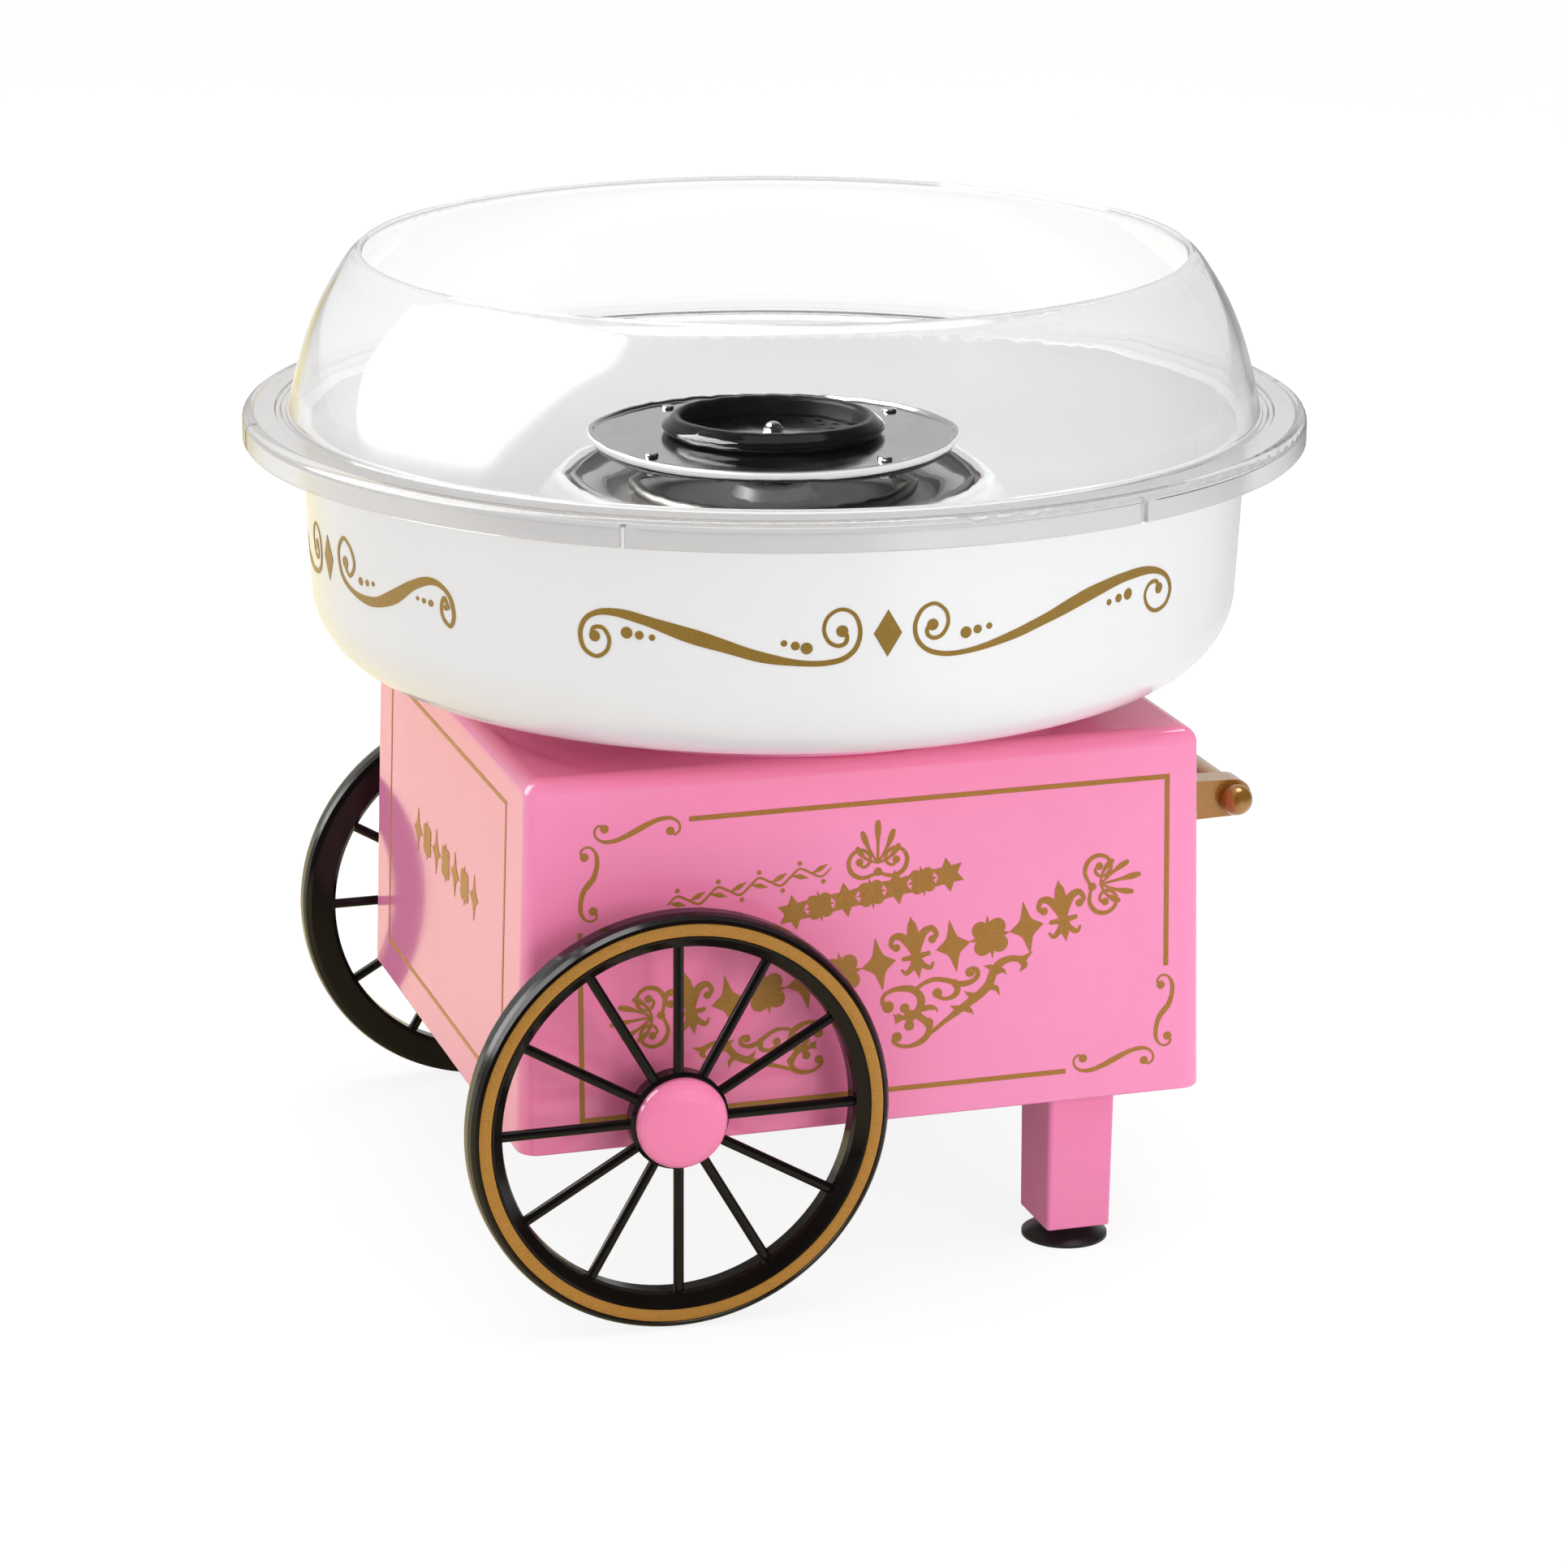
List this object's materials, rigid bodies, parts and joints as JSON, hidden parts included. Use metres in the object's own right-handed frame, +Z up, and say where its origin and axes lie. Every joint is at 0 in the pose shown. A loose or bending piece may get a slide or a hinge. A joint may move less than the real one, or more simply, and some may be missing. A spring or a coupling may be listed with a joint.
{
  "type": "cotton candy machine",
  "caption": "Tabletop cotton candy machine built like a small cart: spinning heated head in a white bowl under a clear rim guard, pink housing, spoked wheels and legs.",
  "frame": {"origin": "on the ground, under the axis of the spindle and bowl", "axes": "+X along the cart towards the push handle, +Y towards the side with the switch and cord, +Z up"},
  "size_m": [0.295, 0.295, 0.2721],
  "materials": {
    "black_plastic": "glossy black moulded plastic",
    "board_green": "printed circuit laminate",
    "brass": "plain brass",
    "bright_steel": "polished, plated",
    "ceramic_white": null,
    "clear_plastic": "clear polished plastic",
    "component_dark": "moulded electronic component",
    "copper": "enamelled copper wire",
    "cord_rubber": "black flexible cord jacket",
    "foot_rubber": "soft black rubber",
    "gold_plastic": "satin metallic gold plastic",
    "head_aluminium": "satin spun aluminium",
    "heater_alloy": "heat-darkened heater sheath",
    "inner_plastic": "moulded plastic",
    "magnet": "ferrite, unfinished",
    "motor_steel": "zinc plated sheet",
    "pan_metal": "dark heat-proof coating, semi gloss",
    "pink_plastic": "smooth glossy pink moulded plastic",
    "steel": "machined steel",
    "tower_plastic": "heat-resistant moulded plastic",
    "wheel_plastic": "glossy black moulded plastic with a gold printed stripe",
    "white_plastic": "smooth glossy white moulded plastic",
    "wire_red": "insulated lead wire"
  },
  "bodies": {
    "base": {"cart_housing": "pink_plastic", "base_plate": "inner_plastic", "base_plate_screws": "steel", "leg_near": "pink_plastic", "leg_far": "pink_plastic", "leg_screws": "steel", "suction_foot_near": "foot_rubber", "suction_foot_far": "foot_rubber", "axle": "steel", "axle_bushings": "inner_plastic", "axle_spacers": "black_plastic", "axle_clips": "bright_steel", "push_handle": "gold_plastic", "handle_screws": "steel", "tower": "tower_plastic", "tower_screws": "steel", "heater_pan": "pan_metal", "heater_coil": "heater_alloy", "heater_bushings": "ceramic_white", "coil_supports": "ceramic_white", "thermal_cutout": "component_dark", "motor_can": "motor_steel", "motor_end_cap": "inner_plastic", "motor_magnets": "magnet", "motor_bearings": "brass", "motor_brushes": "component_dark", "motor_plate": "motor_steel", "motor_grommets": "foot_rubber", "plate_screws": "steel", "motor_screws": "steel", "switch_body": "black_plastic", "strain_relief": "cord_rubber", "power_cord": "cord_rubber", "plug_body": "cord_rubber", "plug_blades": "brass", "rectifier_board": "board_green", "board_components": "component_dark", "board_screws": "steel", "wiring": "wire_red"},
    "spindle": {"motor_shaft": "steel", "armature_core": "steel", "armature_windings": "copper", "commutator": "brass", "drive_pin": "steel"},
    "extractor_head": {"head_hub": "head_aluminium", "head_dish": "head_aluminium", "head_disc": "head_aluminium", "head_rivets": "bright_steel", "sugar_ring": "black_plastic", "dome_nut": "bright_steel"},
    "bowl": {"bowl": "white_plastic"},
    "guard": {"rim_guard": "clear_plastic"},
    "wheel_near": {"wheel_near": "wheel_plastic", "hub_cap_near": "pink_plastic"},
    "wheel_far": {"wheel_far": "wheel_plastic", "hub_cap_far": "pink_plastic"},
    "rocker": {"switch_rocker": "black_plastic"}
  },
  "joints": [
    {"name": "spindle_spin", "type": "hinge", "parent": "base", "child": "spindle", "pos_m": [0, 0, 0.15], "axis": [0, 0, 1], "continuous": true},
    {"name": "head_lift", "type": "slide", "parent": "spindle", "child": "extractor_head", "axis": [0, 0, 1], "range_m": [0, 0.08]},
    {"name": "bowl_lift", "type": "slide", "parent": "base", "child": "bowl", "axis": [0, 0, 1], "range_m": [0, 0.09]},
    {"name": "guard_lift", "type": "slide", "parent": "bowl", "child": "guard", "axis": [0, 0, 1], "range_m": [0, 0.06]},
    {"name": "wheel_near_spin", "type": "hinge", "parent": "base", "child": "wheel_near", "pos_m": [-0.0578, -0.1, 0.05814], "axis": [0, 1, 0], "continuous": true},
    {"name": "wheel_far_spin", "type": "hinge", "parent": "base", "child": "wheel_far", "pos_m": [-0.0578, 0.1, 0.05814], "axis": [0, 1, 0], "continuous": true},
    {"name": "switch_rock", "type": "hinge", "parent": "base", "child": "rocker", "pos_m": [0.06, 0.0864, 0.078], "axis": [1, 0, 0], "range_deg": [0, 16]}
  ]
}
